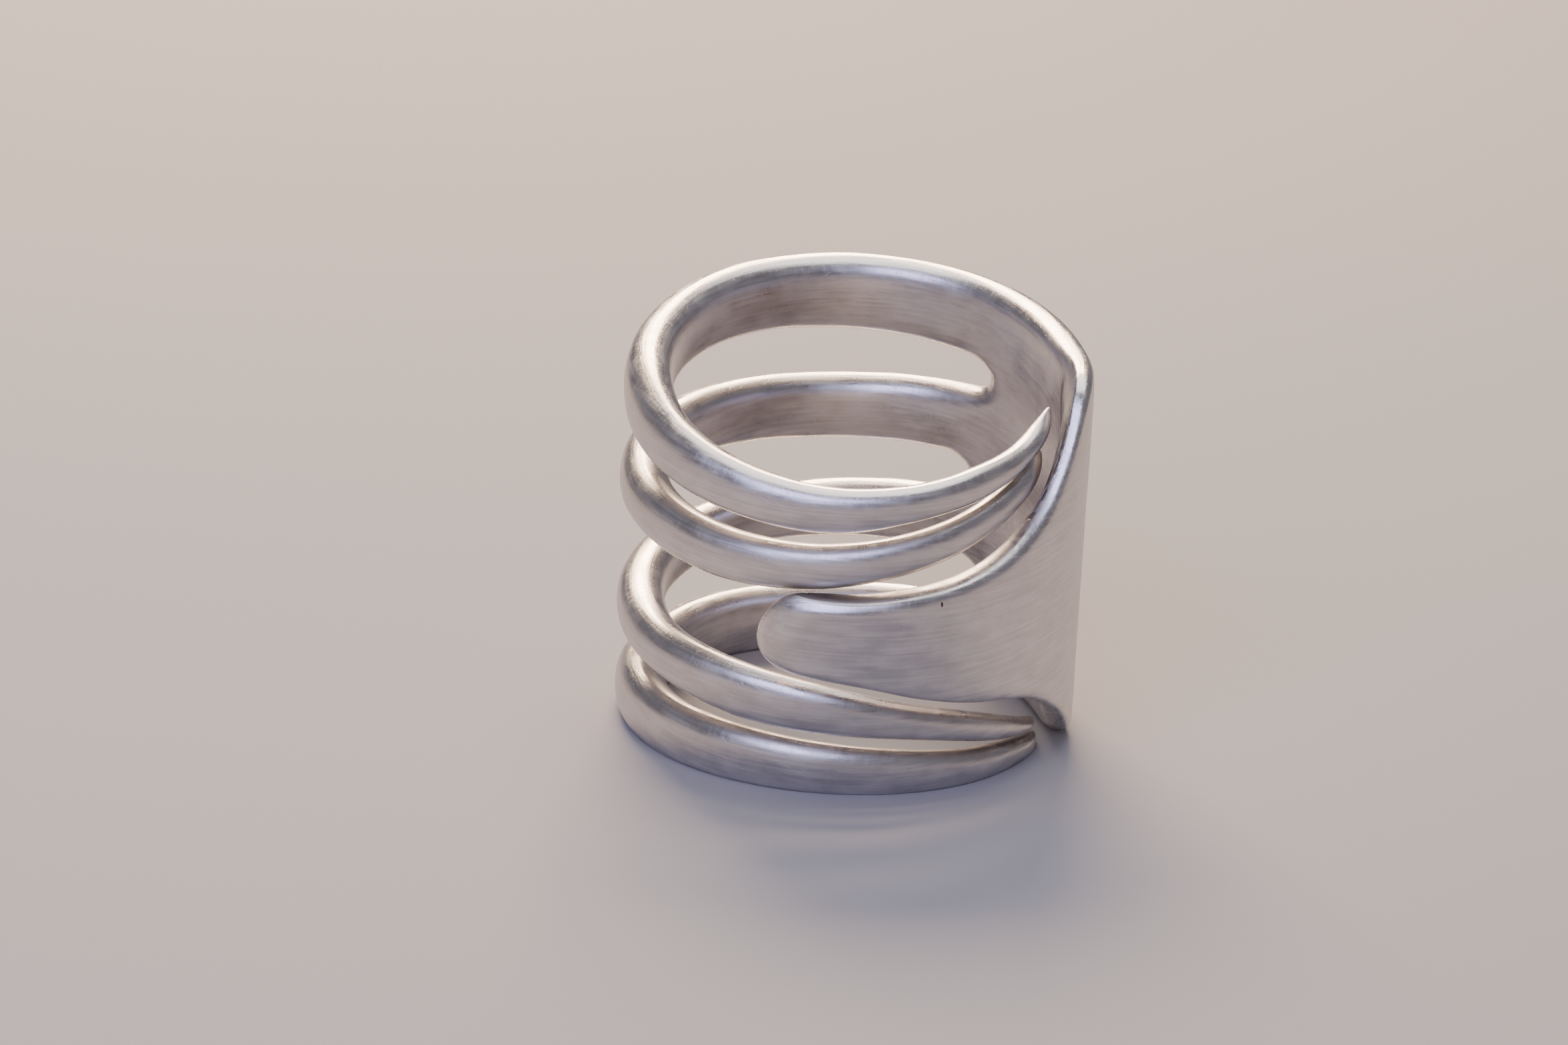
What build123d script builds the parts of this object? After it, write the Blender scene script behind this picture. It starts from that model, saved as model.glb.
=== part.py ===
"""A fork ring: the head of a four-tine table fork, cut off at the neck and wrapped round a finger.

The whole ring is one piece of silver. Seen from above it starts at the front with the cut neck,
which flares through the shoulders into the blade at the right. The blade splits into four tines at
the back, and they run round the left side and over the front again, the upper two above the neck
and the lower two below it, to their tips at the right.

The ring is drawn round an upright axis, with its middle plane at height zero. It is then leant
forward, so that the lowest tine lies flat on the table, and stood on height zero.
"""

import os
from math import cos, degrees, pi, radians, sin, tan

from build123d import *

# Driving dimensions, millimetres
band_diameter = 21.5
head_width = 20.8
blade_thickness = 1.7
tine_thickness = 2.15
slot_root_width = 2.1
slot_mouth_width = 2.9

# Angles, degrees. Those round the wrap count from the right-hand side, counter-clockwise from above.
forward_lean = 9
neck_tip_angle = -111.8
blade_start_angle = -115
blade_end_angle = 65
tine_start_angle = 30
stand_out_angle = 150
spare_angle = 2

# Shares of head_width: how far the table lies below the middle plane
base_share = 0.442

# Shares of a section's thickness: how far its outer face is crowned, and its corners' radius
blade_crown = 0.04
tine_crown = 0.12
corner_share = 0.33

# Share of tine_thickness that is rubbed off the lowest tine's edge, where it stands
rub_share = 0.15

# How far a slot's cut runs past the blade's end, as a share of its length there
slot_overrun = 1.5

blade_stations = 25
tine_stations = 24

band_radius = band_diameter / 2
base_depth = head_width * base_share

# Radius: outside radius as a share of band_radius.
# Thick: thickness as a share of blade_thickness.
# Low and high: edge heights from the middle plane as shares of head_width.
BLADE_COLUMNS = ("turn", "radius", "thick", "low", "high")
BLADE_ROWS = (
    (-115, 1.042, 0.84, -0.058, 0.128),
    (-100, 1.042, 0.88, -0.063, 0.131),
    (-84, 1.042, 0.91, -0.088, 0.140),
    (-69, 1.041, 0.91, -0.123, 0.148),
    (-56, 1.039, 0.88, -0.155, 0.170),
    (-46, 1.037, 0.83, -0.174, 0.207),
    (-36, 1.036, 0.77, -0.210, 0.267),
    (-27, 1.035, 0.74, -0.266, 0.364),
    (-20.5, 1.032, 0.76, -0.316, 0.456),
    (-14.5, 1.025, 0.80, -0.374, 0.494),
    (-7, 1.010, 0.86, -0.440, 0.498),
    (4, 0.979, 0.93, -0.530, 0.492),
    (20, 0.962, 0.99, -0.600, 0.488),
    (34, 0.968, 1.00, -0.600, 0.484),
    (46, 0.984, 0.92, -0.600, 0.476),
    (65, 0.972, 0.62, -0.600, 0.452),
)

# Radius and thick as above, but thick is a share of tine_thickness.
# The other columns are the low and high edges of each tine, counted from the top.
# The lowest tine has no low edge here, because it is the one that lies on the table.
TINE_COLUMNS = ("turn", "radius", "thick", "low1", "high1", "low2", "high2", "low3", "high3", "high4")
TINE_ROWS = (
    (30, 0.955, 0.70, 0.299, 0.478, 0.052, 0.203, -0.204, -0.058, -0.334),
    (50, 0.998, 0.90, 0.294, 0.487, 0.037, 0.210, -0.220, -0.062, -0.334),
    (70, 1.018, 1.00, 0.302, 0.490, 0.034, 0.201, -0.226, -0.073, -0.350),
    (98, 1.024, 1.07, 0.314, 0.496, 0.030, 0.191, -0.228, -0.088, -0.363),
    (130, 1.023, 1.08, 0.326, 0.495, 0.049, 0.204, -0.228, -0.096, -0.347),
    (160, 1.015, 1.08, 0.317, 0.477, 0.074, 0.219, -0.226, -0.099, -0.325),
    (190, 1.005, 1.08, 0.289, 0.454, 0.093, 0.222, -0.221, -0.100, -0.290),
    (215, 0.991, 0.87, 0.279, 0.418, 0.100, 0.226, -0.212, -0.094, -0.264),
    (240, 0.974, 0.77, 0.267, 0.386, 0.107, 0.225, -0.224, -0.093, -0.249),
    (265, 0.963, 0.68, 0.264, 0.369, 0.134, 0.236, -0.228, -0.111, -0.253),
    (290, 0.955, 0.62, 0.296, 0.376, 0.178, 0.267, -0.245, -0.164, -0.277),
    (308, 0.942, 0.58, 0.316, 0.390, 0.220, 0.300, -0.287, -0.215, -0.310),
    (326, 0.919, 0.53, 0.350, 0.400, 0.276, 0.344, -0.338, -0.284, -0.346),
    (343, 0.905, 0.43, 0.400, 0.443, 0.330, 0.396, -0.386, -0.350, -0.388),
)

# How far each tine stands out from that radius at the front, as a share of tine_thickness,
# and the turn where its tip ends
TINE_ENDS = {
    1: {"stand_out": -0.03, "tip_turn": 342},
    2: {"stand_out": 0.02, "tip_turn": 335},
    3: {"stand_out": 0.04, "tip_turn": 342},
    4: {"stand_out": 0.04, "tip_turn": 344.5},
}

# Turn of each slot's rounded root, counted from the top
SLOT_ROOT_TURNS = {1: 47, 2: 54, 3: 49}


def column(columns, table, name):
    """Give one column of a table as points of turn and value."""
    place = columns.index(name)
    return [(row[0], row[place]) for row in table]


def value_at(points, turn):
    """Read a column at any turn, on a smooth curve through its rows."""
    last = len(points) - 1
    start = max(i for i in range(last) if i == 0 or points[i][0] <= turn)
    slopes = []
    for i in (start, start + 1):
        before, after = points[max(i - 1, 0)], points[min(i + 1, last)]
        slopes.append((after[1] - before[1]) / (after[0] - before[0]))
    (turn_a, value_a), (turn_b, value_b) = points[start], points[start + 1]
    span = turn_b - turn_a
    t = (turn - turn_a) / span
    ease = t * t * (3 - 2 * t)
    bend = t * (1 - t) * (slopes[0] * span * (1 - t) - slopes[1] * span * t)
    return value_a + (value_b - value_a) * ease + bend


def even_turns(first, last, count):
    """Give evenly spaced turns, ends included."""
    return [first + (last - first) * i / (count - 1) for i in range(count)]


def table_height(turn, radius):
    """Height of the table top under a point of the leaning ring, from the middle plane."""
    return -base_depth - radius * sin(radians(turn)) * tan(radians(forward_lean))


def blade_size(turn):
    """Give the blade's outside radius, thickness, low edge and high edge at a turn."""
    radius, thick, low, high = (
        value_at(column(BLADE_COLUMNS, BLADE_ROWS, name), turn) for name in BLADE_COLUMNS[1:]
    )
    outside = band_radius * radius
    thickness = blade_thickness * thick
    table_top = table_height(turn, outside - thickness / 2)
    return outside, thickness, max(head_width * low, table_top), head_width * high


def tine_size(turn, number):
    """Give a tine's outside radius, thickness, low edge and high edge at a turn."""

    def read(name):
        return value_at(column(TINE_COLUMNS, TINE_ROWS, name), turn)

    drift = sin(pi / 2 * min(1, (turn - tine_start_angle) / stand_out_angle))
    outside = band_radius * read("radius") + tine_thickness * TINE_ENDS[number]["stand_out"] * drift
    thickness = tine_thickness * read("thick")
    if number == 4:
        low = table_height(turn, outside - thickness / 2) - tine_thickness * rub_share
    else:
        low = head_width * read(f"low{number}")
    return outside, thickness, low, head_width * read(f"high{number}")


def radial_plane(turn):
    """Upright plane through the axis: x points outwards, y points up."""
    angle = radians(turn)
    return Plane(origin=(0, 0, 0), x_dir=(cos(angle), sin(angle), 0), z_dir=(sin(angle), -cos(angle), 0))


def facing_plane(turn, radius):
    """Upright plane that faces outwards at a turn: x runs counter-clockwise, y points up."""
    angle = radians(turn)
    return Plane(
        origin=(radius * cos(angle), radius * sin(angle), 0),
        x_dir=(-sin(angle), cos(angle), 0),
        z_dir=(cos(angle), sin(angle), 0),
    )


def section(turn, size, crown_share):
    """Sketch one cross-section: a crowned outside face and rounded corners."""
    outside, thickness, low, high = size
    inside = outside - thickness
    shoulder = outside - thickness * crown_share
    with BuildSketch(radial_plane(turn)) as profile:
        with BuildLine():
            ThreePointArc((shoulder, low), (outside, (low + high) / 2), (shoulder, high))
            Line((shoulder, high), (inside, high))
            Line((inside, high), (inside, low))
            Line((inside, low), (shoulder, low))
        make_face()
        fillet(profile.vertices(), corner_share * min(thickness, high - low))
    return profile.sketch


def end_waste(size_at, tip_turn, way, *which):
    """Sketch what is filed off past a half-round end, and give the depth that cuts right through.

    Way is 1 for an end that points counter-clockwise and -1 for one that points clockwise.
    """
    outside, thickness, low, high = size_at(tip_turn, *which)
    centre_turn = tip_turn - way * degrees((high - low) / 2 / outside)
    outside, thickness, low, high = size_at(centre_turn, *which)
    ample = 4 * (high - low)
    side = Align.MIN if way > 0 else Align.MAX
    with BuildSketch(facing_plane(centre_turn, outside)) as waste:
        with Locations((0, (low + high) / 2)):
            Rectangle(ample, ample, align=(side, Align.CENTER))
            Circle((high - low) / 2, mode=Mode.SUBTRACT)
    return waste.sketch, 2 * thickness


# The blade with its neck, its three slots and the filed end of the neck
with BuildPart() as blade:
    turns = even_turns(blade_start_angle, blade_end_angle, blade_stations)
    loft([section(turn, blade_size(turn), blade_crown) for turn in turns])
    for slot, root_turn in SLOT_ROOT_TURNS.items():
        centre_turn = root_turn + degrees(slot_root_width / 2 / band_radius)
        low = tine_size(centre_turn, slot)[2]
        high = tine_size(centre_turn, slot + 1)[3]
        run = band_radius * radians(blade_end_angle - centre_turn) * slot_overrun
        with BuildSketch(facing_plane(centre_turn, band_radius)):
            with Locations((0, (low + high) / 2)):
                Circle(slot_root_width / 2)
                Polygon(
                    (0, -slot_root_width / 2),
                    (run, -slot_mouth_width / 2),
                    (run, slot_mouth_width / 2),
                    (0, slot_root_width / 2),
                    align=None,
                )
        extrude(amount=2 * blade_thickness, both=True, mode=Mode.SUBTRACT)
    neck_waste, depth = end_waste(blade_size, neck_tip_angle, -1)
    extrude(neck_waste, amount=depth, both=True, mode=Mode.SUBTRACT)

# The four tines, each from inside the blade to its half-round tip
tines = []
for number, end in TINE_ENDS.items():
    with BuildPart() as tine:
        turns = even_turns(tine_start_angle, end["tip_turn"] + spare_angle, tine_stations)
        loft([section(turn, tine_size(turn, number), tine_crown) for turn in turns])
        tip_waste, depth = end_waste(tine_size, end["tip_turn"], 1, number)
        extrude(tip_waste, amount=depth, both=True, mode=Mode.SUBTRACT)
    tines.append(tine.part)

# The whole head in one piece, leant on to its lowest tine and rubbed flat where it stands
with BuildPart() as leaning:
    with Locations(Location((0, 0, base_depth * cos(radians(forward_lean))), (forward_lean, 0, 0))):
        add(blade.part)
        add(tines)
    split(bisect_by=Plane.XY, keep=Keep.TOP)
middle = leaning.part.bounding_box().center()

with BuildPart() as fork_band:
    with Locations((-middle.X, -middle.Y, 0)):
        add(leaning.part)

os.makedirs("parts", exist_ok=True)
fork_band.part.label = "fork_band"
export_step(fork_band.part, "parts/fork_band.step")
box = fork_band.part.bounding_box()
print("solids", len(fork_band.part.solids()), "volume", round(fork_band.part.volume, 2))
print("low corner", box.min, "high corner", box.max, "moved by", -middle.X, -middle.Y)
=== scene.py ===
"""A ring made from the head of a silver table fork, standing on its lowest tine.

The head is modelled as the maker had it, as one flat sheet with its four tines, and is then given
its thickness, bent round the finger's axis and leant on to the table.
"""

from math import cos, degrees, pi, radians, sin, sqrt, tan

import bmesh
import bpy
from mathutils import Matrix, Vector, bvhtree, kdtree, noise


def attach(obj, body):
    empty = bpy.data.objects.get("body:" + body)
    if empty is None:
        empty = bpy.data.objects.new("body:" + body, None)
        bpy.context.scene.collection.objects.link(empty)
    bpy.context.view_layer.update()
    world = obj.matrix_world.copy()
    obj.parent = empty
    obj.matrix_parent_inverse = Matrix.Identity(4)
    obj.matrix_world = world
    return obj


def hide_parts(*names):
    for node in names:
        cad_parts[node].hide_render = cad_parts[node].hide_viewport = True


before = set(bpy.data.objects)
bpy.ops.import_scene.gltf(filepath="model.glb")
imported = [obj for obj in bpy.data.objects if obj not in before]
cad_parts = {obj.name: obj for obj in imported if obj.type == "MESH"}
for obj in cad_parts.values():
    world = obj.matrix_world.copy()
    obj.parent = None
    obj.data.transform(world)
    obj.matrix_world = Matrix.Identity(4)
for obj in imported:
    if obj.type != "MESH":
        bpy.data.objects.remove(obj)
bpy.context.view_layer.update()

MM = 0.001

# Driving dimensions of the ring, millimetres and degrees
BAND_DIAMETER = 21.5
HEAD_WIDTH = 20.8
BLADE_THICKNESS = 1.7
TINE_THICKNESS = 2.15
SLOT_ROOT_WIDTH = 2.3
FORWARD_LEAN = 9
NECK_TIP_TURN = -111.8
STAND_OUT_TURN = 150

BAND_RADIUS = BAND_DIAMETER / 2

# How far the table lies below the middle plane as a share of HEAD_WIDTH, and how much of the lowest
# tine is rubbed off flat as a share of TINE_THICKNESS
BASE_SHARE = 0.442
RUB_SHARE = 0.15
BASE_DEPTH = HEAD_WIDTH * BASE_SHARE

# Radius: outside radius as a share of BAND_RADIUS. Thick: a share of BLADE_THICKNESS.
# Low and high: edge heights from the middle plane as shares of HEAD_WIDTH.
BLADE_COLUMNS = ("turn", "radius", "thick", "low", "high")
BLADE_ROWS = (
    (-115, 1.042, 0.84, -0.058, 0.128),
    (-100, 1.042, 0.88, -0.063, 0.131),
    (-84, 1.042, 0.91, -0.088, 0.140),
    (-69, 1.041, 0.91, -0.123, 0.148),
    (-56, 1.039, 0.88, -0.155, 0.170),
    (-46, 1.037, 0.83, -0.174, 0.207),
    (-36, 1.036, 0.77, -0.210, 0.267),
    (-27, 1.035, 0.74, -0.266, 0.364),
    (-20.5, 1.032, 0.76, -0.316, 0.456),
    (-14.5, 1.025, 0.80, -0.374, 0.494),
    (-7, 1.010, 0.86, -0.440, 0.498),
    (4, 0.979, 0.93, -0.530, 0.492),
    (20, 0.962, 0.99, -0.600, 0.488),
    (34, 0.970, 1.02, -0.600, 0.486),
    (50, 0.997, 1.12, -0.600, 0.487),
)

# As above, but thick is a share of TINE_THICKNESS, and the edges are those of each tine from the top.
TINE_COLUMNS = ("turn", "radius", "thick", "low1", "high1", "low2", "high2", "low3", "high3", "high4")
TINE_ROWS = (
    (30, 0.967, 0.81, 0.297, 0.486, 0.050, 0.205, -0.206, -0.056, -0.332),
    (50, 0.998, 0.90, 0.294, 0.487, 0.037, 0.210, -0.220, -0.062, -0.334),
    (70, 1.018, 1.00, 0.302, 0.490, 0.034, 0.201, -0.226, -0.073, -0.350),
    (98, 1.024, 1.07, 0.314, 0.496, 0.030, 0.191, -0.228, -0.088, -0.363),
    (130, 1.023, 1.08, 0.326, 0.495, 0.049, 0.204, -0.228, -0.096, -0.347),
    (160, 1.015, 1.08, 0.317, 0.477, 0.074, 0.219, -0.226, -0.099, -0.325),
    (190, 1.005, 1.08, 0.289, 0.454, 0.093, 0.222, -0.221, -0.100, -0.290),
    (215, 0.991, 0.87, 0.279, 0.418, 0.100, 0.226, -0.212, -0.094, -0.264),
    (240, 0.974, 0.77, 0.267, 0.386, 0.107, 0.225, -0.224, -0.093, -0.249),
    (265, 0.963, 0.68, 0.264, 0.369, 0.134, 0.236, -0.228, -0.111, -0.253),
    (290, 0.955, 0.62, 0.296, 0.376, 0.178, 0.267, -0.245, -0.164, -0.277),
    (308, 0.942, 0.58, 0.316, 0.390, 0.220, 0.300, -0.287, -0.215, -0.310),
    (326, 0.919, 0.53, 0.350, 0.400, 0.276, 0.344, -0.338, -0.284, -0.346),
    (343, 0.905, 0.43, 0.400, 0.443, 0.330, 0.396, -0.386, -0.350, -0.388),
)

# By tine from the top, and by the slot below it: how far the tine stands out at the left as a share of
# its thickness, and the turns where its tip and the slot's root lie
TINE_STAND_OUT = {1: -0.03, 2: 0.02, 3: 0.04, 4: 0.04}
TINE_TIP_TURN = {1: 342, 2: 335, 3: 342, 4: 344.5}
SLOT_ROOT_TURN = {1: 47, 2: 54, 3: 49}
LOWEST_TINE = 4
LOWEST_SLOT = 3

# Where the sheet's rows lie: across a tine as shares of its width, across a slot's root as angles
TINE_SPREAD = (0.0, 0.08, 0.30, 0.70, 0.92, 1.0)
SLOT_ANGLES = (45, 0, -45)

# How fine the work is: stations along the blade and along each tine, levels of smoothing, and samples
# on each edge when distances from it are measured
BLADE_STATIONS = 26
TINE_STATIONS = 40
SMOOTH_LEVELS = 2
EDGE_SAMPLES = 8

# The stations past the roots over which the tines' crown grows, and the shares of the blade's and of a
# tine's length over which its rows gather to a round end
CROWN_RUN = 3
NECK_GATHER = 1 / 6
TIP_GATHER = 0.06

# How far the tips stand out, and how much further the neck's lower half does: shares of a half width
TIP_LENGTH = 0.7
NECK_SKEW = 0.25

# The sheet's layers, with room for one between them
OUTER_FACE, INNER_FACE = 0, 2

# What a step along the sheet, down it and through it counts for in the order of its points: half a step
# of each outweighs all the steps of the next
ORDER_WEIGHTS = Vector((1024, 8, 1))

# Shares of a section's thickness: how far the outer face is crowned, and how round its edges, those of
# the inner face and the shoulder's crisper outer edge are
CROWN_SHARE = 0.10
OUTER_ROUND = 0.38
INNER_ROUND = 0.36
CRISP_ROUND = 0.20

# Turns where the crisper outer corner of the shoulder's rim begins, is full, fades and ends
CRISP_TURNS = (-34, -24, 25, 55)

# The bevel filed on the inner side of the shoulder's top edge: its width in millimetres at a turn, how
# steep it is, and the least width that shares of it are reckoned with
BEVEL_ROWS = ((-46, 0.0), (-34, 0.9), (-20, 1.2), (-4, 0.9), (20, 0.0))
BEVEL_SLOPE = 0.48
BEVEL_LEAST = 0.1

# Unevenness left by bending and by wear, millimetres: how deep, and how long its waves are
BEND_WAVES = {"deep": 0.05, "long": 5.0, "seed": (3.1, 7.4, 1.9)}
DENTS = {"deep": 0.014, "long": 1.4, "seed": (8.2, 0.6, 5.3)}

# Rays from each point that feel how shut in it is: how many, how far they reach and how far off the
# surface they start in millimetres
RAY_COUNT = 64
RAY_REACH = 4.0
RAY_START = 0.15

# Where the file scored the inner face: turns where the scores begin, are full, fade and end, and how
# far down from the top edge they start to fade and end in millimetres
FILED_TURNS = (-44, -36, -12, 4)
FILED_DEPTHS = (2.2, 5.5)

# Where the bevel is polished instead: from one turn to the next the polish comes on, and it ends
# between two shares of the bevel's width
SMOOTH_BEVEL_TURNS = (-29, -21)
SMOOTH_BEVEL_SHARES = (0.8, 1.1)

# A nick in the outer face near the top edge of the neck: its turn and height, and its half length
# along, across and through the sheet
NICK = {"turn": -67.8, "height": 2.57, "half": (0.05, 0.17, 0.6)}

# The finish's patterns: how long their blotches are in millimetres along, across and through the sheet,
# how many degrees they are turned from the grain, and how many finer layers the noise has
PATTERNS = {
    # Cloudy patches where skin and cloth have rubbed unevenly
    "clouds": {"lengths": (1.6, 0.9, 0.9), "turned": 0, "detail": 4},
    # Brushed streaks that run along the head and the tines
    "streaks": {"lengths": (3.4, 0.16, 0.16), "turned": 0, "detail": 4},
    # The fine tooth of a satin finish, drawn coarser than the real one so that it shows
    "tooth": {"lengths": (0.10, 0.07, 0.07), "turned": 0, "detail": 2},
    # Short rubs across the grain
    "rubs": {"lengths": (0.16, 1.5, 0.6), "turned": 0, "detail": 3},
    # Single long scratches, aslant to the grain
    "scratches": {"lengths": (2.6, 0.06, 0.06), "turned": 24, "detail": 1},
    # The file's deep scores beside the tips, along the shoulder's slope
    "scores": {"lengths": (0.17, 3.0, 3.0), "turned": 35, "detail": 3},
}

# Values carried smoothly from one range to another for the shader: what each is made from, the low and
# the high of that, and what those two become
CARRIED = {
    "scratched": ("scratches", 0.66, 0.74, 0, 1),
    "scored": ("scores", 0.47, 0.58, 0, 1),
    "nicked": ("from_nick", 0.5, 1.1, 1, 0),
    "polish": ("edge_gap", 0.05, 0.45, 1, 0),
    # How shut in a point is: it darkens the colour there as brown tarnish with painted shade
    "recess": ("shut_in", 0.06, 0.55, 0, 1),
    "patchy": ("clouds", 0.35, 0.65, 0.35, 1),
    "lightness": ("mottle", 0.34, 0.66, 0, 1),
    "satin": ("clouds", 0.30, 0.70, 0.29, 0.40),
    "brushed": ("streaks", 0.35, 0.65, -0.035, 0.035),
    "rubbed": ("rubs", 0.45, 0.75, 0, 0.08),
}

# What the mottle is made of, and how dull and dark the scores are beside a surface that is quite shut in,
# where the darkening is brown tarnish with painted shade
MOTTLE_SHARES = {"clouds": 0.5, "streaks": 0.5}
SCORED_TO_DULL = 0.8

# The silver's darker mottle, and what is laid over it in turn: its lighter mottle, worn edges, brown
# tarnish in the filed area and the shut-in hollows with painted shade in those hollows, and dirt in the
# scores. Each has what it follows, how strongly it covers, and its colour.
SILVER_SHADE = "#c6c1c1"
COLOUR_LAYERS = (
    ("lightness", 1, "#dfdbd8"),
    ("polish", 0.5, "#ece7e2"),
    # Brown tarnish, with painted shade where the surface is shut in
    ("tarnish_and_painted_shade", 0.6, "#6f635c"),
    ("score_lines", 1, "#3d3632"),
)

# What adds to the roughness, and how much of it
ROUGHNESS_SHARES = {"satin": 1, "brushed": 1, "rubbed": 1, "tarnish_and_painted_shade": 0.14, "polish": -0.07}

# The finish's relief: how deep it is in millimetres, and each pattern's share of it
RELIEF_DEPTH = 0.02
RELIEF_SHARES = {"streaks": 0.5, "scratched": -0.12, "tooth": 0.18, "rubs": 0.08, "score_lines": -2.4}

# What each point of the surface knows for its finish: how far it is from the sheet's edge in
# millimetres, and how strongly it is filed and how shut in it is, both from 0 to 1
SURFACE_VALUES = ("edge_gap", "filed", "shut_in")

# Blender's own numbers for the colour sockets of its Mix node
MIX_FACTOR, MIX_A, MIX_B, MIX_RESULT = 0, 6, 7, 2

# The turn from each point to the next on a spiral that spreads them evenly over a sphere
GOLDEN_ANGLE = pi * (3 - sqrt(5))

# The lamps: a warm one high behind, a cool one at the front left and a faint one overhead. Their places
# and sizes are in millimetres.
LAMPS = {
    "warm_back": {"place": (-50, 255, 235), "size": 190, "watts": 2.4, "colour": "#ffdfbe"},
    "cool_front": {"place": (-100, -250, 190), "size": 230, "watts": 0.7, "colour": "#c9ccff"},
    "soft_top": {"place": (0, 30, 350), "size": 260, "watts": 0.55, "colour": "#f9f5f6"},
}

# The studio: its grey, how far its floor reaches in millimetres, and the floor's pale card
STUDIO_GREY = "#7a7880"
FLOOR_REACH = 2000
CARD_COLOUR, CARD_ROUGHNESS = "#a9a7a7", 0.8

# The camera, as the photograph has it: angles in degrees, lengths in millimetres
CAMERA_LENS = 110.3
CAMERA_AIM = (-3.09, 0, 9.73)
CAMERA_DISTANCE = 224.07
CAMERA_DOWN = 18.97
CAMERA_SIDE = 0.856
CAMERA_ROLL = 2.33
CAMERA_NEAR = 10


def column(columns, table, name):
    """Give one column of a table as points of turn and value."""
    place = columns.index(name)
    return [(row[0], row[place]) for row in table]


def value_at(points, turn):
    """Read a column at any turn, on a smooth curve through its rows."""
    last = len(points) - 1
    start = max(i for i in range(last) if i == 0 or points[i][0] <= turn)
    slopes = []
    for i in (start, start + 1):
        before, after = points[max(i - 1, 0)], points[min(i + 1, last)]
        slopes.append((after[1] - before[1]) / (after[0] - before[0]))
    (turn_a, value_a), (turn_b, value_b) = points[start], points[start + 1]
    span = turn_b - turn_a
    t = (turn - turn_a) / span
    ease = t * t * (3 - 2 * t)
    bend = t * (1 - t) * (slopes[0] * span * (1 - t) - slopes[1] * span * t)
    return value_a + (value_b - value_a) * ease + bend


def table_height(turn, radius):
    """Height of the table top under a point of the leaning ring, from its middle plane."""
    return -BASE_DEPTH - radius * sin(radians(turn)) * tan(radians(FORWARD_LEAN))


def read_blade(name, turn):
    """Read a column of the blade's table at a turn."""
    return value_at(column(BLADE_COLUMNS, BLADE_ROWS, name), turn)


def read_tine(name, turn):
    """Read a column of the tines' table at a turn."""
    return value_at(column(TINE_COLUMNS, TINE_ROWS, name), turn)


def wall(turn, stand_out=0.0):
    """Outside radius and thickness of the bent sheet at a turn."""
    if turn < TINE_ROWS[0][0]:
        return BAND_RADIUS * read_blade("radius", turn), BLADE_THICKNESS * read_blade("thick", turn)
    drift = sin(pi / 2 * min(1, (turn - TINE_ROWS[0][0]) / STAND_OUT_TURN))
    outside = BAND_RADIUS * read_tine("radius", turn) + TINE_THICKNESS * stand_out * drift
    return outside, TINE_THICKNESS * read_tine("thick", turn)


def blade_edges(turn):
    """Low and high edge of the blade and neck."""
    outside, thickness = wall(turn)
    low = max(HEAD_WIDTH * read_blade("low", turn), table_height(turn, outside - thickness / 2))
    return low, HEAD_WIDTH * read_blade("high", turn)


def tine_edges(number, turn):
    """Low and high edge of a tine."""
    if number == LOWEST_TINE:
        outside, thickness = wall(turn, TINE_STAND_OUT[number])
        low = table_height(turn, outside - thickness / 2) - RUB_SHARE * TINE_THICKNESS
    else:
        low = HEAD_WIDTH * read_tine(f"low{number}", turn)
    return low, HEAD_WIDTH * read_tine(f"high{number}", turn)


def make_rows():
    """Name the sheet's rows from the top edge down: ("tine", number, share) or ("slot", number, angle)."""
    rows = []
    for number in TINE_TIP_TURN:
        rows += [("tine", number, share) for share in TINE_SPREAD]
        if number in SLOT_ROOT_TURN:
            rows += [("slot", number, angle) for angle in SLOT_ANGLES]
    return rows


ROWS = make_rows()


def root_turn(number):
    """Turn at which a slot's straight sides begin."""
    return SLOT_ROOT_TURN[number] + degrees(SLOT_ROOT_WIDTH / 2 / BAND_RADIUS)


def root_place(row):
    """Turn and height of a row where the blade ends and the tines begin."""
    kind, number, value = ROWS[row]
    if kind == "slot":
        centre = root_turn(number)
        top = tine_edges(number, centre)[0]
        bottom = tine_edges(number + 1, centre)[1]
        half = (top - bottom) / 2
        angle = radians(value)
        turn = centre - degrees(half * cos(angle) / BAND_RADIUS)
        return turn, (top + bottom) / 2 + half * sin(angle)
    upper = root_turn(max(number - 1, 1))
    lower = root_turn(min(number, LOWEST_SLOT))
    turn = upper + (lower - upper) * value
    low, high = tine_edges(number, turn)
    return turn, high + (low - high) * value


ROOTS = [root_place(row) for row in range(len(ROWS))]
ROOT_TOP, ROOT_LOW = ROOTS[0][1], ROOTS[-1][1]


def blade_place(row, step):
    """Turn and height of a row at a step from 0, the neck's half-round end, to 1, the tines' roots."""
    root, height = ROOTS[row]
    share = (ROOT_TOP - height) / (ROOT_TOP - ROOT_LOW)
    outside = wall(NECK_TIP_TURN)[0]
    low, high = blade_edges(NECK_TIP_TURN)
    half = (high - low) / 2
    start = NECK_TIP_TURN + degrees(half / outside)
    low, high = blade_edges(start)
    half = (high - low) / 2
    angle = pi * (share - 0.5)
    reach = half * cos(angle) * (1 + NECK_SKEW * sin(angle))
    end = start - degrees(reach / outside)
    turn = end + (root - end) * step
    low, high = blade_edges(max(turn, start))
    even = high + (low - high) * share
    round_end = (low + high) / 2 - half * sin(angle)
    gather = min(1, step / NECK_GATHER)
    return turn, round_end + (even - round_end) * gather


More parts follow.
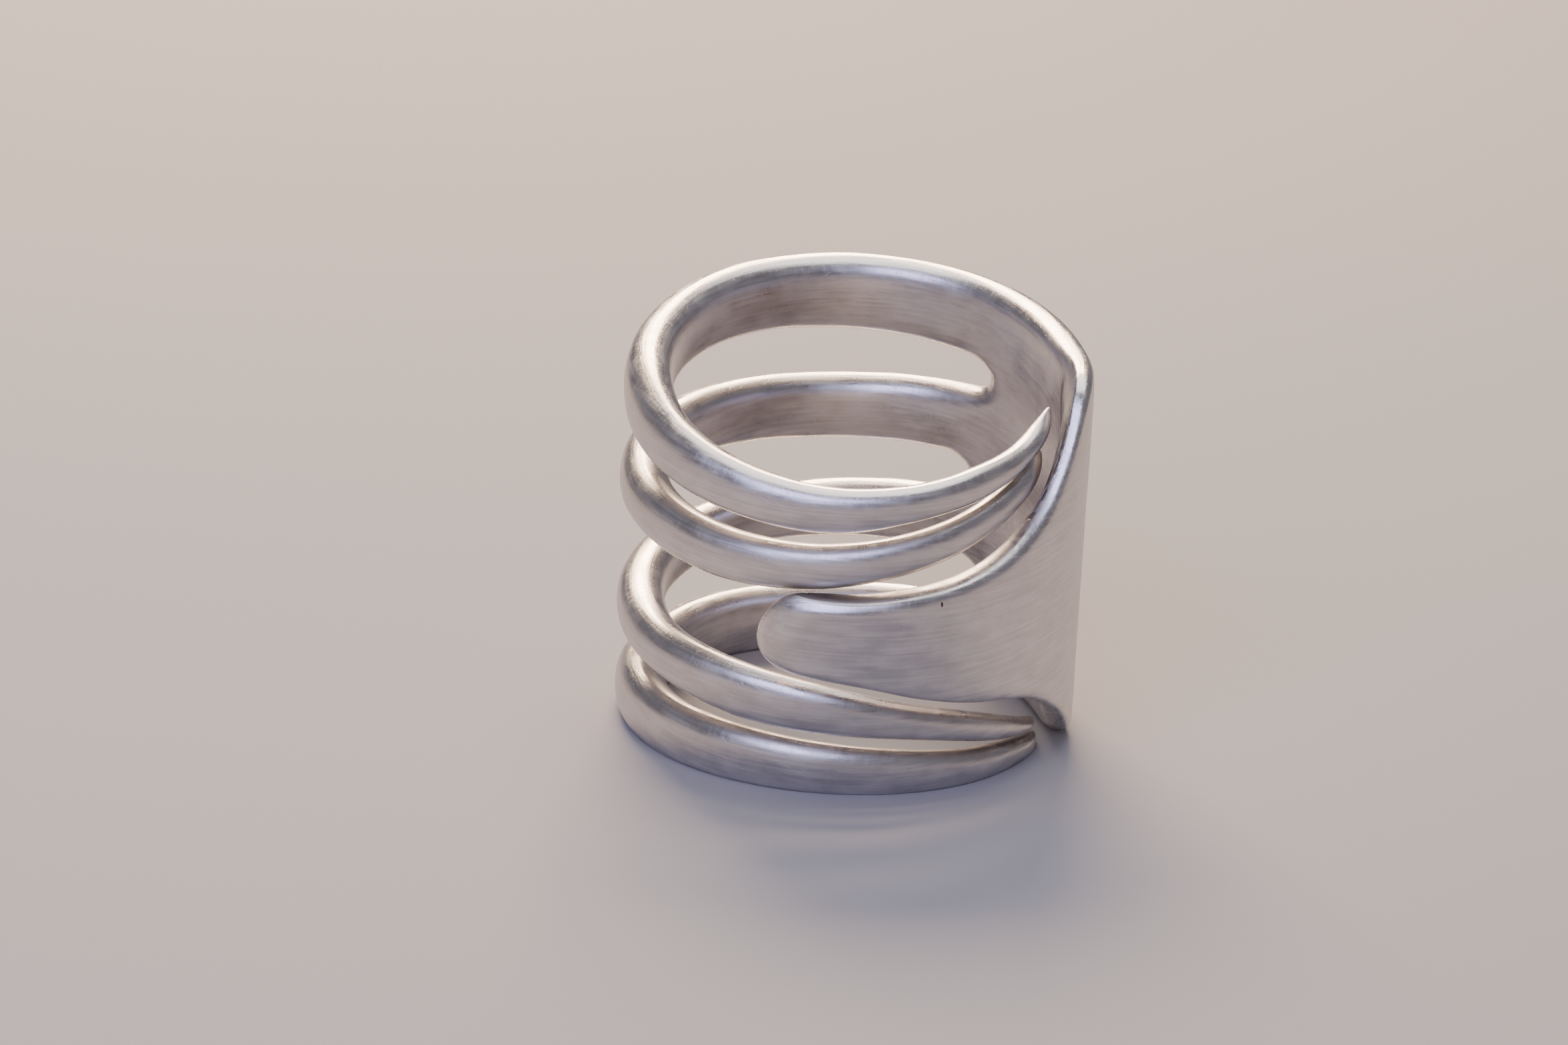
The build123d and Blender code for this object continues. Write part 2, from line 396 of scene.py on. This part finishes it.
def tine_place(row, step):
    """Turn and height of a tine's row at a step from 0, its root, to 1, its blunt round tip."""
    number, share = ROWS[row][1:]
    root = ROOTS[row][0]
    tip = TINE_TIP_TURN[number]
    outside = wall(tip)[0]
    low, high = tine_edges(number, tip)
    start = tip - degrees(TIP_LENGTH * (high - low) / 2 / outside)
    low, high = tine_edges(number, start)
    half = (high - low) / 2
    angle = pi * (TINE_SPREAD.index(share) / (len(TINE_SPREAD) - 1) - 0.5)
    end = start + degrees(TIP_LENGTH * half * cos(angle) / outside)
    turn = root + (end - root) * step
    low, high = tine_edges(number, min(turn, start))
    even = high + (low - high) * share
    round_end = (low + high) / 2 - half * sin(angle)
    gather = max(0, (step - 1 + TIP_GATHER) / TIP_GATHER)
    return turn, even + (round_end - even) * gather


def make_sheet():
    """Make the flat head as a plain grid, where x counts stations along it and y counts rows down it."""
    bm = bmesh.new()
    rows = len(ROWS) - 1
    # The grid is made 1 wide round the origin, so it is first moved to lie between 0 and 1
    bmesh.ops.create_grid(bm, x_segments=BLADE_STATIONS, y_segments=rows, size=0.5)
    bmesh.ops.translate(bm, vec=(0.5, 0.5, 0), verts=bm.verts)
    bmesh.ops.scale(bm, vec=(BLADE_STATIONS, rows, 1), verts=bm.verts)
    for number in TINE_TIP_TURN:
        own = [row for row, (kind, owner, share) in enumerate(ROWS) if (kind, owner) == ("tine", number)]
        root = [v for v in bm.verts if round(v.co.x) == BLADE_STATIONS and round(v.co.y) in own]
        tip = [edge for edge in bm.edges if all(v in root for v in edge.verts)]
        for step in range(TINE_STATIONS):
            grown = bmesh.ops.extrude_edge_only(bm, edges=tip)["geom"]
            corners = [item for item in grown if isinstance(item, bmesh.types.BMVert)]
            bmesh.ops.translate(bm, vec=(1, 0, 0), verts=corners)
            edges = [item for item in grown if isinstance(item, bmesh.types.BMEdge)]
            tip = [edge for edge in edges if all(v in corners for v in edge.verts)]
    return bm


def flat_place(co):
    """Turn and height on the real head of a point of the plain grid."""
    row = round(co.y)
    if co.x <= BLADE_STATIONS:
        return blade_place(row, co.x / BLADE_STATIONS)
    return tine_place(row, (co.x - BLADE_STATIONS) / TINE_STATIONS)


def edge_distances(bm, places):
    """Real distance of each grid point from the nearest edge of the sheet, in millimetres."""
    samples = []
    for edge in bm.edges:
        if edge.is_boundary:
            (turn_a, height_a), (turn_b, height_b) = (places[v.index] for v in edge.verts)
            for i in range(EDGE_SAMPLES):
                t = i / EDGE_SAMPLES
                turn = turn_a + (turn_b - turn_a) * t
                samples.append((BAND_RADIUS * radians(turn), height_a + (height_b - height_a) * t, 0))
    tree = kdtree.KDTree(len(samples))
    for i, point in enumerate(samples):
        tree.insert(point, i)
    tree.balance()
    return [tree.find((BAND_RADIUS * radians(turn), height, 0))[2] for turn, height in places]


def rounding(distance, radius):
    """How far a rounded edge falls away at a distance from the sheet's edge."""
    if distance >= radius:
        return 0.0
    return radius - sqrt(distance * (2 * radius - distance))


def row_stand_out(row):
    """How far a row stands out at the left, as a share of TINE_THICKNESS."""
    kind, number, value = ROWS[row]
    if kind == "slot":
        return (TINE_STAND_OUT[number] + TINE_STAND_OUT[number + 1]) / 2
    return TINE_STAND_OUT[number]


def crown(co, thickness):
    """How far the outer face falls away from its middle line towards its long edges."""
    kind, number, value = ROWS[round(co.y)]
    off_middle = 2 * value - 1 if kind == "tine" else 0
    past_root = min(1, max(0, (co.x - BLADE_STATIONS) / CROWN_RUN))
    return CROWN_SHARE * thickness * off_middle ** 2 * past_root


def bend(turn, radius, height):
    """Bend a point round the upright axis, then lean it on to the table."""
    upright = Vector((radius * cos(radians(turn)), radius * sin(radians(turn)), height))
    leant = Matrix.Rotation(radians(FORWARD_LEAN), 3, "X") @ upright
    return (leant + Vector((0, 0, BASE_DEPTH * cos(radians(FORWARD_LEAN))))) * MM


def smooth_step(low, high, value):
    """Rise smoothly from 0 at low to 1 at high."""
    share = min(1, max(0, (value - low) / (high - low)))
    return share * share * (3 - 2 * share)


def plateau(turns, turn):
    """Rise from 0 to 1 between the first two of four turns, and fall back between the last two."""
    begins, full, fades, ends = turns
    return smooth_step(begins, full, turn) * smooth_step(ends, fades, turn)


def outer_round(turn):
    """Radius of the outer face's rounded edges, as a share of the thickness."""
    return OUTER_ROUND + (CRISP_ROUND - OUTER_ROUND) * plateau(CRISP_TURNS, turn)


def bevel(turn, height):
    """How far the shoulder's filed bevel lies inside the inner face."""
    if not BEVEL_ROWS[0][0] < turn < BEVEL_ROWS[-1][0]:
        return 0.0
    return BEVEL_SLOPE * max(0, value_at(BEVEL_ROWS, turn) - (blade_edges(turn)[1] - height))


def filed(turn, height):
    """How strongly the inner face is scored by the file, from 0 to 1: only beside the upper tips."""
    if not FILED_TURNS[0] < turn < FILED_TURNS[-1]:
        return 0.0
    below_edge = blade_edges(turn)[1] - height
    bevel_share = below_edge / max(value_at(BEVEL_ROWS, turn), BEVEL_LEAST)
    polished = (1 - smooth_step(*SMOOTH_BEVEL_SHARES, bevel_share)) * smooth_step(*SMOOTH_BEVEL_TURNS, turn)
    full, end = FILED_DEPTHS
    return plateau(FILED_TURNS, turn) * (1 - polished) * smooth_step(end, full, below_edge)


def waves(settings, point):
    """Seeded smooth noise of a given depth and wavelength, in millimetres."""
    return settings["deep"] * noise.noise(point / settings["long"] + Vector(settings["seed"]))


def even_directions(count):
    """Spread directions evenly over a sphere on a spiral."""
    directions = []
    for i in range(count):
        rise = 1 - (2 * i + 1) / count
        side = sqrt(1 - rise * rise)
        angle = i * GOLDEN_ANGLE
        directions.append(Vector((side * cos(angle), side * sin(angle), rise)))
    return directions


def shut_in(vert, tree, directions):
    """Share of the rays leaving a point that meet the ring close by."""
    rays = [ray for ray in directions if ray.dot(vert.normal) > 0]
    start = vert.co + vert.normal * RAY_START * MM
    return sum(tree.ray_cast(start, ray, RAY_REACH * MM)[0] is not None for ray in rays) / len(rays)


def place_grid(bm):
    """Give each grid point's turn and height, and its distance from the sheet's edge, by its x and y."""
    bm.verts.index_update()
    places = [flat_place(v.co) for v in bm.verts]
    distances = edge_distances(bm, places)
    steps = [(round(v.co.x), round(v.co.y)) for v in bm.verts]
    return dict(zip(steps, zip(places, distances)))


def grid_order(item):
    """Number a point, edge or face of the grid by where its middle lies."""
    corners = getattr(item, "verts", [item])
    return sum(v.co.dot(ORDER_WEIGHTS) for v in corners) / len(corners)


def thicken(bm):
    """Grow the sheet's inner layer and another between the two, and number every part afresh."""
    grown = bmesh.ops.extrude_face_region(bm, geom=bm.faces[:])["geom"]
    inner = [item for item in grown if isinstance(item, bmesh.types.BMVert)]
    bmesh.ops.translate(bm, vec=(0, 0, INNER_FACE), verts=inner)
    sides = [edge for edge in bm.edges if edge.verts[0].co.z != edge.verts[1].co.z]
    bmesh.ops.subdivide_edges(bm, edges=sides, cuts=1)
    # What is grown is numbered differently each time, so all of it is put in one order
    for parts in (bm.verts, bm.edges, bm.faces):
        parts.sort(key=grid_order)


def shape(bm, by_grid):
    """Round the thick sheet's edges and bend it, and note at each point what its finish needs."""
    for name in SURFACE_VALUES:
        bm.verts.layers.float.new(name)
    grain = bm.verts.layers.float_vector.new("grain")
    layers = bm.verts.layers.float
    for v in bm.verts:
        (turn, height), distance = by_grid[(round(v.co.x), round(v.co.y))]
        outside, thickness = wall(turn, row_stand_out(round(v.co.y)))
        layer = round(v.co.z)
        if layer == OUTER_FACE:
            depth = crown(v.co, thickness) + rounding(distance, outer_round(turn) * thickness)
        elif layer == INNER_FACE:
            depth = thickness - max(rounding(distance, INNER_ROUND * thickness), bevel(turn, height))
            v[layers["filed"]] = filed(turn, height)
        else:
            depth = thickness / 2
        v[layers["edge_gap"]] = distance
        v[grain] = (BAND_RADIUS * radians(turn), height, depth)
        v.co = bend(turn, outside - depth + waves(BEND_WAVES, Vector(v[grain])), height)


def face_outwards(bm):
    """Point every face away from the metal."""
    bmesh.ops.recalc_face_normals(bm, faces=bm.faces)
    if bm.calc_volume(signed=True) < 0:
        bmesh.ops.reverse_faces(bm, faces=bm.faces)
    bm.normal_update()


def feel_recesses(bm):
    """Note at each point how shut in it is, which the finish paints darker as tarnish with painted shade.
    """
    layer = bm.verts.layers.float["shut_in"]
    tree = bvhtree.BVHTree.FromBMesh(bm)
    directions = even_directions(RAY_COUNT)
    for v in bm.verts:
        v[layer] = shut_in(v, tree, directions)


def make_ring():
    """Thicken the sheet, round its edges, bend it and smooth it."""
    bm = make_sheet()
    by_grid = place_grid(bm)
    thicken(bm)
    shape(bm, by_grid)
    face_outwards(bm)
    feel_recesses(bm)
    mesh = bpy.data.meshes.new("fork_ring")
    bm.to_mesh(mesh)
    bm.free()
    ring = bpy.data.objects.new("fork_ring", mesh)
    bpy.context.scene.collection.objects.link(ring)
    smooth = ring.modifiers.new("smooth", "SUBSURF")
    smooth.levels = smooth.render_levels = SMOOTH_LEVELS
    finished = bpy.data.meshes.new_from_object(ring.evaluated_get(bpy.context.evaluated_depsgraph_get()))
    ring.modifiers.clear()
    ring.data = finished
    dent(finished)
    stand(finished)
    finished.shade_smooth()
    return ring


def dent(mesh):
    """Push the finished surface in and out a little, as years of wear do."""
    moves = [vert.normal * waves(DENTS, vert.co / MM) * MM for vert in mesh.vertices]
    for vert, move in zip(mesh.vertices, moves):
        vert.co += move


def stand(mesh):
    """Centre the ring where the frame has it, and rub flat what would lie below the table."""
    across = [v.co.x for v in mesh.vertices]
    along = [v.co.y for v in mesh.vertices]
    middle_x = (min(across) + max(across)) / 2
    middle_y = (min(along) + max(along)) / 2
    for v in mesh.vertices:
        v.co.x -= middle_x
        v.co.y -= middle_y
        v.co.z = max(v.co.z, 0)


def linear(code):
    """Turn an sRGB hex colour into the linear values that shaders and lamps take."""
    parts = [int(code[i : i + 2], 16) / 255 for i in (1, 3, 5)]
    # The numbers below are those of the sRGB standard
    return [part / 12.92 if part <= 0.04045 else ((part + 0.055) / 1.055) ** 2.4 for part in parts] + [1]


def add_node(tree, kind, inputs, output=0, **settings):
    """Add a node with its settings, fill its inputs with values or sockets, and give one of its outputs."""
    new = tree.nodes.new("ShaderNode" + kind)
    for name, value in settings.items():
        setattr(new, name, value)
    for name, value in inputs.items():
        if isinstance(value, bpy.types.NodeSocket):
            tree.links.new(value, new.inputs[name])
        else:
            new.inputs[name].default_value = value
    return new.outputs[output]


def empty_material(name):
    """Make a material whose node tree holds only its output."""
    material = bpy.data.materials.new(name)
    material.use_nodes = True
    tree = material.node_tree
    tree.nodes.clear()
    return material, tree, tree.nodes.new("ShaderNodeOutputMaterial")


def pattern(tree, grain, name):
    """Noise on the sheet with the lengths, slant and detail of its pattern."""
    own = PATTERNS[name]
    inputs = {"Vector": grain, "Rotation": (0, 0, -radians(own["turned"])), "Scale": own["lengths"]}
    placed = add_node(tree, "Mapping", inputs, vector_type="TEXTURE")
    return add_node(tree, "TexNoise", {"Vector": placed, "Scale": 1, "Detail": own["detail"]}, "Fac")


def nick_distance(tree, grain):
    """Distance from the nick's middle, in half lengths of the nick."""
    middle = (BAND_RADIUS * radians(NICK["turn"]), NICK["height"], 0)
    inputs = {"Vector": grain, "Location": middle, "Scale": NICK["half"]}
    placed = add_node(tree, "Mapping", inputs, vector_type="TEXTURE")
    return add_node(tree, "VectorMath", {0: placed}, "Value", operation="LENGTH")


def add_up(tree, values, shares):
    """Add up some of the values, each times its own share."""
    total = 0
    for name, share in shares.items():
        inputs = {0: values[name], 1: share, 2: total}
        total = add_node(tree, "Math", inputs, operation="MULTIPLY_ADD")
    return total


def finish_values(tree):
    """Make every value that the finish is built from: its patterns, its marks and how dull it is, with the
    tarnish and painted shade in its hollows.
    """
    grain = add_node(tree, "Attribute", {}, "Vector", attribute_name="grain")
    values = {name: pattern(tree, grain, name) for name in PATTERNS}
    for name in SURFACE_VALUES:
        values[name] = add_node(tree, "Attribute", {}, "Fac", attribute_name=name)
    values["mottle"] = add_up(tree, values, MOTTLE_SHARES)
    values["from_nick"] = nick_distance(tree, grain)
    for name, (source, low, high, at_low, at_high) in CARRIED.items():
        inputs = {"Value": values[source], "From Min": low, "From Max": high}
        inputs |= {"To Min": at_low, "To Max": at_high}
        values[name] = add_node(tree, "MapRange", inputs, interpolation_type="SMOOTHSTEP")

    cuts = add_node(tree, "Math", {0: values["scored"], 1: values["filed"]}, operation="MULTIPLY")
    values["score_lines"] = add_node(tree, "Math", {0: cuts, 1: values["nicked"]}, operation="MAXIMUM")
    # Darker and rougher in the filed area and where the surface is shut in: tarnish and dirt, with painted
    # shade in the hollows
    dirty = add_node(tree, "Math", {0: values["filed"], 1: SCORED_TO_DULL}, operation="MULTIPLY")
    held_tarnish_and_shade = add_node(tree, "Math", {0: values["recess"], 1: dirty}, operation="MAXIMUM")
    values["tarnish_and_painted_shade"] = add_node(tree, "Math", {0: held_tarnish_and_shade, 1: values["patchy"]}, operation="MULTIPLY")
    return values


def satin_silver():
    """Worn satin silver: a soft sheen from fine rubbing, brighter worn edges, and dull brown tarnish with
    painted shade in the recesses.
    """
    material, tree, output = empty_material("satin silver")
    values = finish_values(tree)
    colour = linear(SILVER_SHADE)
    for name, share, code in COLOUR_LAYERS:
        factor = add_node(tree, "Math", {0: values[name], 1: share}, operation="MULTIPLY")
        inputs = {MIX_FACTOR: factor, MIX_A: colour, MIX_B: linear(code)}
        colour = add_node(tree, "Mix", inputs, MIX_RESULT, data_type="RGBA")
    roughness = add_up(tree, values, ROUGHNESS_SHARES)
    relief = add_up(tree, values, RELIEF_SHARES)
    bump = add_node(tree, "Bump", {"Height": relief, "Distance": RELIEF_DEPTH * MM, "Strength": 1})
    inputs = {"Base Color": colour, "Metallic": 1, "Roughness": roughness, "Normal": bump}
    shader = add_node(tree, "BsdfPrincipled", inputs)
    tree.links.new(shader, output.inputs["Surface"])
    return material


def pale_card():
    """Matt pale card for the floor."""
    material, tree, output = empty_material("pale card")
    inputs = {"Base Color": linear(CARD_COLOUR), "Roughness": CARD_ROUGHNESS}
    shader = add_node(tree, "BsdfPrincipled", inputs)
    tree.links.new(shader, output.inputs["Surface"])
    return material


def make_floor():
    """Lay a wide plain floor."""
    bm = bmesh.new()
    bmesh.ops.create_grid(bm, x_segments=1, y_segments=1, size=FLOOR_REACH * MM)
    mesh = bpy.data.meshes.new("floor")
    bm.to_mesh(mesh)
    bm.free()
    mesh.materials.append(pale_card())
    floor = bpy.data.objects.new("floor", mesh)
    bpy.context.scene.collection.objects.link(floor)


def make_lamps():
    """Hang the soft lamps and aim each at the middle of the ring."""
    for name, lamp in LAMPS.items():
        data = bpy.data.lights.new(name, "AREA")
        data.energy = lamp["watts"]
        data.size = lamp["size"] * MM
        data.color = linear(lamp["colour"])[:3]
        holder = bpy.data.objects.new(name, data)
        holder.location = Vector(lamp["place"]) * MM
        aim = Vector(CAMERA_AIM) * MM - holder.location
        holder.rotation_euler = aim.to_track_quat("-Z", "Y").to_euler()
        bpy.context.scene.collection.objects.link(holder)
    world = bpy.data.worlds.new("studio")
    bpy.context.scene.world = world
    world.use_nodes = True
    world.node_tree.nodes["Background"].inputs["Color"].default_value = linear(STUDIO_GREY)


def make_camera():
    """Look at the ring from the photograph's angle."""
    scene = bpy.context.scene
    data = bpy.data.cameras.new("camera")
    data.lens = CAMERA_LENS
    data.clip_start = CAMERA_NEAR * MM
    camera = bpy.data.objects.new("camera", data)
    scene.collection.objects.link(camera)
    aim = Vector(CAMERA_AIM) * MM
    down, round_z = radians(CAMERA_DOWN), radians(CAMERA_SIDE)
    back = Vector((sin(round_z) * cos(down), -cos(round_z) * cos(down), sin(down)))
    level = (-back).to_track_quat("-Z", "Y").to_matrix().to_4x4()
    rolled = Matrix.Rotation(radians(CAMERA_ROLL), 4, back) @ level
    camera.matrix_world = Matrix.Translation(aim + back * CAMERA_DISTANCE * MM) @ rolled
    scene.camera = camera


ring = make_ring()
ring.data.materials.append(satin_silver())
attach(ring, "root")
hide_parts("fork_band")
make_floor()
make_lamps()
make_camera()
